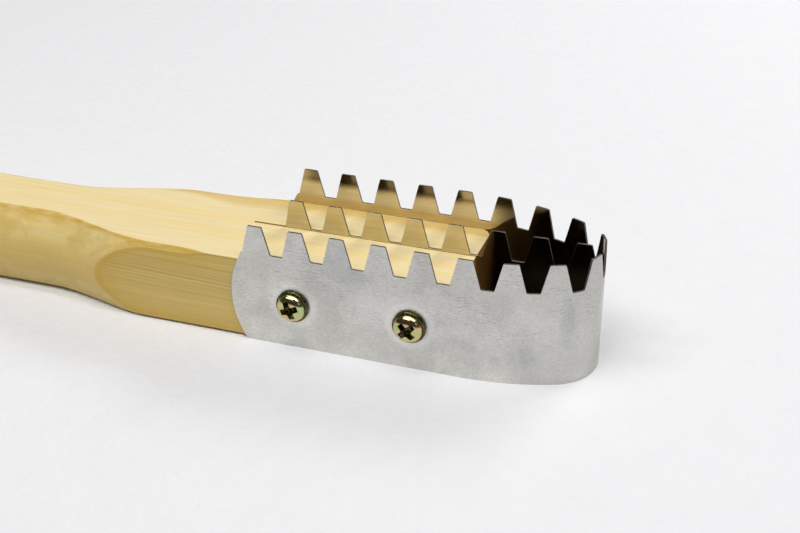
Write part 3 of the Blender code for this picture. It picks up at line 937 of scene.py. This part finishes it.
def build_blade(s, teeth, sheared):
    """A flat toothed plate with an upright rear edge."""
    foot_z = BLADE_HIGH.z - teeth.height
    rear, front, bottom = BLADE_LOW.x, BLADE_HIGH.x, BLADE_LOW.z
    outline = [(rear + s.corner, bottom), (rear, bottom + s.corner), (rear, foot_z)]
    for i in range(s.teeth):
        line = tooth_line(teeth, s.first_tooth + i * teeth.pitch, foot_z)
        outline += line[1:] if i == 0 else line
    outline += [(front, foot_z), (front, bottom)]
    outline = rounded(outline, teeth.corner, closed=True)
    face_y = (BLADE_LOW.y + BLADE_HIGH.y - teeth.sheet) / 2
    bm = bmesh.new()
    face = bm.faces.new([bm.verts.new((x, face_y, z)) for x, z in outline])
    extruded = bmesh.ops.extrude_face_region(bm, geom=[face])
    moved = [item for item in extruded["geom"] if isinstance(item, bmesh.types.BMVert)]
    bmesh.ops.translate(bm, vec=(0, teeth.sheet, 0), verts=moved)
    for face in bm.faces:
        if len(face.verts) == 4:
            face.material_index = 1
    blade = add_piece("toothed_blade", bm, (make_bright_steel("bright_steel_blade", s.face), sheared))
    cut(blade, drills(STEEL_HOLE, sheared))
    soften(blade, teeth.edge)
    fit_to_frame(blade, "centre_blade")


# --- Handle ---------------------------------------------------------------------------------------

# How gently the plank's flat sides meet each other, and the oval
PLANK_EASE = 0.5 * MM
OVAL_EASE = 0.22 * MM

# Distances from an edge at which the section has points, the most that one of them may take of
# the face between two edges, and the steps across the rest of the face
EDGE_POINTS = (0.08 * MM, 0.2 * MM, 0.36 * MM, 0.6 * MM)
EDGE_SHARE = 0.09
FACE_STEPS = 8

# Least angle between two edges of a section
LEAST_GAP = math.radians(0.5)

# Room under the blade in its kerf, and how far the saw reaches past the block
KERF_ROOM = 0.1 * MM
SAW_REACH = 5 * MM

# Sections round the butt and round the front corners, then (where a stretch ends, its step)
ROUND_STEPS = 10
STRETCHES = ((-22 * MM, 1.6 * MM), (46 * MM, 0.6 * MM))
BLOCK_STEP = 3 * MM


def smooth_step(x, start, end):
    """0 before start, 1 after end, with level ends between."""
    t = min(max((x - start) / (end - start), 0), 1)
    return t * t * (3 - 2 * t)


def lesser(first, second, ease):
    """The lesser of two numbers, rounded off where they are nearly equal."""
    near = max(ease - abs(first - second), 0) / ease
    return min(first, second) - near * near * ease / 4


class HandleSection:
    """The handle's cross-section at one place along it."""

    def __init__(self, s, x):
        self.x, self.y, self.z = x, s.body_y, s.body_z
        into = min(max(x - HANDLE_LOW.x, 0), s.butt_round)
        inset = s.butt_round - math.sqrt(s.butt_round ** 2 - (s.butt_round - into) ** 2)
        swell = min(abs(x - s.swell_x) / s.swell_reach, 1)
        width = s.grip + s.swell * (1 + math.cos(math.pi * swell)) / 2
        width += s.neck * smooth_step(x / MM, *NECK_SPAN)
        width += s.shoulder * smooth_step(x / MM, *SHOULDER_SPAN)
        self.half = width - inset
        self.tall = self.half * s.aspect
        past = min(max(x - (HANDLE_HIGH.x - s.front_corner), 0), s.front_corner)
        corner = s.front_corner - math.sqrt(s.front_corner ** 2 - past ** 2)
        block = BAND_HIGH.y - SIDE_INSET - corner
        self.right, self.left = block - s.body_y, block + s.body_y
        self.up = HANDLE_HIGH.z - inset - s.body_z
        self.down = s.body_z - HANDLE_LOW.z - inset

    def radius(self, turn):
        """Distance from the oval's centre to the surface in one direction."""
        c, d = math.cos(turn), math.sin(turn)
        oval = 1 / math.hypot(c / self.half, d / self.tall)
        across = (self.right if c > 0 else self.left) / max(abs(c), 1e-6)
        upward = (self.up if d > 0 else self.down) / max(abs(d), 1e-6)
        return lesser(lesser(across, upward, PLANK_EASE), oval, OVAL_EASE)

    def creases(self, width, height):
        """Directions, in the first quarter, of the side's and the top's edges on the oval."""
        reach = self.half * math.sqrt(max(1 - (height / self.tall) ** 2, 0))
        rise = self.tall * math.sqrt(max(1 - (width / self.half) ** 2, 0)) if self.half > width else 0
        upper = math.atan2(height, min(reach, width))
        lower = math.atan2(min(rise, height), width) if self.half > width else 0
        lower = max(lower, LEAST_GAP)
        if upper - lower < 2 * LEAST_GAP:
            middle = (upper + lower) / 2
            upper, lower = middle + LEAST_GAP, middle - LEAST_GAP
        return lower, upper

    def directions(self):
        """Directions of all points of the section, crowded near the edges."""
        marks = []
        for quarter, (width, height) in enumerate(((self.right, self.up), (self.left, self.up),
                                                   (self.left, self.down), (self.right, self.down))):
            lower, upper = self.creases(width, height)
            if quarter % 2:
                lower, upper = math.pi - upper, math.pi - lower
            half_turns = math.pi * (quarter // 2)
            marks += [half_turns + lower, half_turns + upper]
        marks.append(marks[0] + 2 * math.pi)
        turns = []
        for start, end in zip(marks, marks[1:]):
            span = (end - start) * self.radius((start + end) / 2)
            close = [min(point, EDGE_SHARE * span * (k + 1)) / span for k, point in enumerate(EDGE_POINTS)]
            first, final = close[-1], 1 - close[-1]
            shares = [0.0] + close
            shares += [first + (final - first) * k / FACE_STEPS for k in range(1, FACE_STEPS)]
            shares += [1 - share for share in reversed(close)]
            turns += [start + (end - start) * share for share in shares]
        return turns

    def outline(self):
        """Every point of the section."""
        points = []
        for turn in self.directions():
            radius = self.radius(turn)
            points.append((self.x, self.y + radius * math.cos(turn), self.z + radius * math.sin(turn)))
        return points


def handle_stations(s):
    """Places along the handle, close together where its shape changes."""
    quarter = [math.pi / 2 * i / ROUND_STEPS for i in range(ROUND_STEPS + 1)]
    stations = [HANDLE_LOW.x + s.butt_round * (1 - math.cos(turn)) for turn in quarter]
    front = HANDLE_HIGH.x - s.front_corner
    x = stations[-1]
    for end, step in (*STRETCHES, (front - BLOCK_STEP, BLOCK_STEP)):
        while x < end:
            x += step
            stations.append(x)
    return stations + [front + s.front_corner * math.sin(turn) for turn in quarter]


def build_handle(s):
    """Loft the sections, then saw the kerf and drill the screw holes."""
    bm = bmesh.new()
    tube(bm, [HandleSection(s, x).outline() for x in handle_stations(s)])
    wood = make_wood(s)
    handle = add_piece("shaped_handle", bm, (wood,))
    middle = (BLADE_LOW.y + BLADE_HIGH.y) / 2
    left, right = middle - s.kerf / 2, middle + s.kerf / 2
    low, high = BLADE_LOW.z - KERF_ROOM, HANDLE_HIGH.z + SAW_REACH
    corners = ((left, low), (right, low), (right, high), (left, high))
    bm = bmesh.new()
    tube(bm, [[(x, y, z) for y, z in corners] for x in (s.kerf_x, HANDLE_HIGH.x + SAW_REACH)])
    cut(handle, [add_piece("kerf", bm, (wood,)), *drills(WOOD_HOLE, wood)])
    shade_faces(handle, 38)
    fit_to_frame(handle, "handle")


# --- Screws ---------------------------------------------------------------------------------------

# Faces round a screw, rows of faces in one turn of the thread, steps round an edge of the rim, and
# steps up the dome
SCREW_SIDES = 72
THREAD_ROWS = 10
RIM_STEPS = 4
DOME_STEPS = 22

# How full the curves of the dome and of the point are: 1 is a plain one, less is fuller
DOME_POWER = 0.8
POINT_POWER = 0.8

# Half the width of the thread's ridge as a share of the pitch, and the radius left at the point
RIDGE_SHARE = 0.28
POINT_RADIUS = 0.05 * MM

# Rounding of the rim's edges and of the inner corners of the cross, and the share of the latter
# that its middle point keeps
RIM_ROUND = 0.3 * MM
CROSS_ROUND = 0.35 * MM
CROSS_KEEP = 0.3

# The dome's foot above the rim, and how far above the rim the painted shade reaches
DOME_STEP = 0.1 * MM
RIM_SHADE_REACH = 0.5 * MM

# The cross near its floor and at its floor, as (share of the depth, share of the size), and the
# same share at the cutter's mouth, with how far the mouth stands above the dome
CROSS_LEVELS = ((0.75, 0.66), (1.0, 0.30))
CROSS_MOUTH = 1.22
MOUTH_REACH = 1 * MM

# The gap between the band and a screw's head
SEAT_GAP = 0.02 * MM


def head_profile(s):
    """(radius, height) from the head's underside, round its rim and up the dome to the crown."""
    profile = [(s.core, 0.0), (s.head - RIM_ROUND, 0.0)]
    for middle, start in ((RIM_ROUND, -90), (s.side - RIM_ROUND, 0)):
        for i in range(RIM_STEPS + 1):
            turn = math.radians(start + 90 * i / RIM_STEPS)
            profile.append((s.head - RIM_ROUND * (1 - math.cos(turn)), middle + RIM_ROUND * math.sin(turn)))
    foot = s.side + DOME_STEP
    for i in range(DOME_STEPS):
        turn = math.pi / 2 * i / DOME_STEPS
        profile.append((s.dome * math.cos(turn) ** DOME_POWER, foot + (s.rise - foot) * math.sin(turn)))
    return profile


def thread_radii(s, depth):
    """The radii round the shank at one depth, with the thread as a ridge that climbs round the core."""
    taper = min((s.length - depth) / s.point, 1.0) ** POINT_POWER
    radii = []
    for i in range(SCREW_SIDES):
        phase = (depth / s.pitch + i / SCREW_SIDES) % 1.0
        ridge = max(0.0, 1 - abs(phase - 0.5) / RIDGE_SHARE)
        radii.append((s.core + (s.shank - s.core) * ridge) * taper + POINT_RADIUS)
    return radii


def ring(radii, height):
    """The corners of one ring round the screw's axis."""
    turns = [2 * math.pi * i / SCREW_SIDES for i in range(SCREW_SIDES)]
    return [(radius * math.cos(turn), radius * math.sin(turn), height) for radius, turn in zip(radii, turns)]


def build_screw(s, turn, plating, shade_and_grime):
    """One screw about its own axis, with its cross recess cut."""
    rows = int(s.length / s.pitch * THREAD_ROWS)
    depths = [s.length * k / rows for k in range(rows, 0, -1)]
    profile = head_profile(s)
    outlines = [ring(thread_radii(s, depth), -depth) for depth in depths]
    outlines += [ring([radius] * SCREW_SIDES, height) for radius, height in profile]
    bm = bmesh.new()
    wall = tube(bm, outlines)
    underside = len(depths) * SCREW_SIDES
    # The rim and the foot of the dome take the painted shade
    shaded_rim_faces = sum(height < s.side + RIM_SHADE_REACH for _, height in profile[1:]) * SCREW_SIDES
    for face in wall[underside:underside + shaded_rim_faces]:
        face.material_index = 1
    screw = add_piece("screw", bm, (plating, shade_and_grime))
    # The recess walls take the painted shade as well
    cut(screw, [add_piece("recess", cross_recess(s, turn), (shade_and_grime,))])
    return screw


def cross_recess(s, turn):
    """The tapered cross of the drive recess, with rounded inner corners and a pointed floor."""
    span, wing = s.recess / 2, s.wing / 2
    corner = (wing + CROSS_ROUND * CROSS_KEEP, wing + CROSS_ROUND * CROSS_KEEP)
    points = ((span, -wing), (span, wing), (wing + CROSS_ROUND, wing), corner, (wing, wing + CROSS_ROUND))
    outline = []
    for quarter in range(4):
        c, d = math.cos(turn + math.pi / 2 * quarter), math.sin(turn + math.pi / 2 * quarter)
        outline += [(x * c - y * d, x * d + y * c) for x, y in points]
    levels = [(s.rise + MOUTH_REACH, CROSS_MOUTH)]
    levels += [(s.rise - s.recess_depth * depth, size) for depth, size in CROSS_LEVELS]
    bm = bmesh.new()
    tube(bm, [[(x * size, y * size, height) for x, y in outline] for height, size in levels])
    return bm


def build_screws(s):
    """Four screws, each seated on the band with its head outwards."""
    zinc, shade_and_grime = make_zinc(s), make_painted_shade_zinc(s)
    seat = BAND_HIGH.y + SEAT_GAP
    for node, turn in zip(SCREW_NODES, (s.near_rear, s.near_front, s.far_rear, s.far_front)):
        low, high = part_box(node)
        side = -1 if low.y < BAND_LOW.y else 1
        screw = build_screw(s, turn, zinc, shade_and_grime)
        screw.name = node.replace("screw", "pan_screw")
        # The head's axis points outwards; a turn about it is read from +X towards +Z
        outward = Vector((0, side, 0))
        first = Vector((-side, 0, 0))
        axes = Matrix((first, outward.cross(first), outward)).transposed().to_4x4()
        foot = ((low.x + high.x) / 2, side * seat, (low.z + high.z) / 2)
        screw.data.transform(Matrix.Translation(foot) @ axes)
        shade_faces(screw, 35)
        fit_to_frame(screw, node)


# --- Stage ----------------------------------------------------------------------------------------

# Half the floor's width, and the camera's sensor width in millimetres, as the lens expects it
FLOOR_REACH = 2.5
SENSOR = 36.0


def add_softbox(name, location, target, size, power):
    """A rectangular light that faces its target."""
    light = bpy.data.lights.new(name, "AREA")
    light.shape = "RECTANGLE"
    light.size, light.size_y = size
    light.energy = power
    lamp = bpy.data.objects.new(name, light)
    lamp.location = location
    lamp.rotation_mode = "QUATERNION"
    lamp.rotation_quaternion = (Vector(target) - Vector(location)).to_track_quat("-Z", "Y")
    bpy.context.scene.collection.objects.link(lamp)


def build_stage(s):
    """Pale floor, soft lights and the camera."""
    bm = bmesh.new()
    bmesh.ops.create_grid(bm, x_segments=8, y_segments=8, size=FLOOR_REACH)
    floor = add_piece("floor", bm, (make_paper(s.floor),))

    middle = (CAD_BOX[0] + CAD_BOX[1]) / 2
    add_softbox("top_tube", (0.0, -0.05, 2.1), middle, (2.4, 0.30), s.top_tube)
    add_softbox("front_tube", (0.05, -0.75, 1.9), middle, (3.2, 0.36), s.front_tube)
    add_softbox("low_front_tube", (-0.35, -1.30, 1.7), middle, (1.1, 0.25), s.low_tube)
    add_softbox("side_window", (1.3, -0.9, 0.7), middle, (0.4, 0.4), s.window)
    add_softbox("back_window", (0.48, 0.70, 0.62), (0.18, 0.25, 0.0), (0.5, 0.3), s.back_window)
    add_room(s)
    add_camera(s)
    bpy.context.scene.view_settings.view_transform = "Standard"


def add_room(s):
    """Dim light from all round, paler where it is seen directly past the floor's edge."""
    world = bpy.data.worlds.new("room")
    world.use_nodes = True
    background = world.node_tree.nodes["Background"]
    background.inputs["Color"].default_value = (1.0, 1.0, 1.0, 1.0)
    tree = Tree(world.node_tree)
    seen = tree.add("ShaderNodeLightPath").outputs["Is Camera Ray"]
    tree.feed(background.inputs["Strength"], tree.plus(tree.times(seen, s.haze), s.room))
    bpy.context.scene.world = world


def add_camera(s):
    """The camera, turned about its target."""
    camera = bpy.data.cameras.new("camera")
    camera.lens = s.lens
    camera.sensor_width = SENSOR
    camera.clip_start = 0.01
    camera.clip_end = 20.0
    viewer = bpy.data.objects.new("camera", camera)
    a, e = s.azimuth, s.elevation
    back = Vector((math.sin(a) * math.cos(e), -math.cos(a) * math.cos(e), math.sin(e)))
    level = Vector((math.cos(a), math.sin(a), 0))
    upright = back.cross(level)
    right = level * math.cos(s.roll) + upright * math.sin(s.roll)
    up = upright * math.cos(s.roll) - level * math.sin(s.roll)
    turned = Matrix((right, up, back)).transposed().to_4x4()
    viewer.matrix_world = Matrix.Translation(Vector(s.target) + back * s.distance) @ turned
    bpy.context.scene.collection.objects.link(viewer)
    bpy.context.scene.camera = viewer


# --- Operators and panel --------------------------------------------------------------------------

class COMB_OT_handle(bpy.types.Operator):
    """Build the shaped wooden handle with its kerf and screw holes."""
    bl_idname = "comb.handle"
    bl_label = "Build Handle"

    def execute(self, context):
        build_handle(context.scene.comb_handle)
        return {"FINISHED"}


class COMB_OT_band(bpy.types.Operator):
    """Build the toothed steel band."""
    bl_idname = "comb.band"
    bl_label = "Build Band"

    def execute(self, context):
        build_band(context.scene.comb_band, context.scene.comb_teeth)
        return {"FINISHED"}


class COMB_OT_blade(bpy.types.Operator):
    """Build the toothed centre blade."""
    bl_idname = "comb.blade"
    bl_label = "Build Blade"

    def execute(self, context):
        scene = context.scene
        sheared = bpy.data.materials.get("sheared_edge") or make_sheared_steel(scene.comb_band.sheared)
        build_blade(scene.comb_blade, scene.comb_teeth, sheared)
        return {"FINISHED"}


class COMB_OT_screws(bpy.types.Operator):
    """Build the four pan-head screws."""
    bl_idname = "comb.screws"
    bl_label = "Build Screws"

    def execute(self, context):
        build_screws(context.scene.comb_screws)
        return {"FINISHED"}


class COMB_OT_stage(bpy.types.Operator):
    """Build the floor, the lights and the camera."""
    bl_idname = "comb.stage"
    bl_label = "Build Stage"

    def execute(self, context):
        build_stage(context.scene.comb_stage)
        return {"FINISHED"}


SETTINGS = (("comb_teeth", CombTeethSettings), ("comb_band", CombBandSettings),
            ("comb_blade", CombBladeSettings), ("comb_handle", CombHandleSettings),
            ("comb_screws", CombScrewSettings), ("comb_stage", CombStageSettings))
OPERATORS = (COMB_OT_handle, COMB_OT_band, COMB_OT_blade, COMB_OT_screws, COMB_OT_stage)


class COMB_PT_panel(bpy.types.Panel):
    """Sizes, colours and build steps of the curry comb."""
    bl_idname = "COMB_PT_panel"
    bl_label = "Curry Comb"
    bl_space_type = "VIEW_3D"
    bl_region_type = "UI"
    bl_category = "Curry Comb"

    def draw(self, context):
        for operator in OPERATORS:
            self.layout.operator(operator.bl_idname)
        for name, group in SETTINGS:
            box = self.layout.box()
            box.label(text=name.replace("comb_", "").capitalize())
            for setting in group.__annotations__:
                box.prop(getattr(context.scene, name), setting)


def register():
    for name, group in SETTINGS:
        bpy.utils.register_class(group)
        setattr(bpy.types.Scene, name, bpy.props.PointerProperty(type=group))
    for cls in (*OPERATORS, COMB_PT_panel):
        bpy.utils.register_class(cls)


def unregister():
    for cls in (COMB_PT_panel, *reversed(OPERATORS)):
        bpy.utils.unregister_class(cls)
    for name, group in reversed(SETTINGS):
        delattr(bpy.types.Scene, name)
        bpy.utils.unregister_class(group)


def main():
    register()
    bpy.ops.comb.handle()
    bpy.ops.comb.band()
    bpy.ops.comb.blade()
    bpy.ops.comb.screws()
    bpy.ops.comb.stage()


if __name__ == "__main__":
    main()
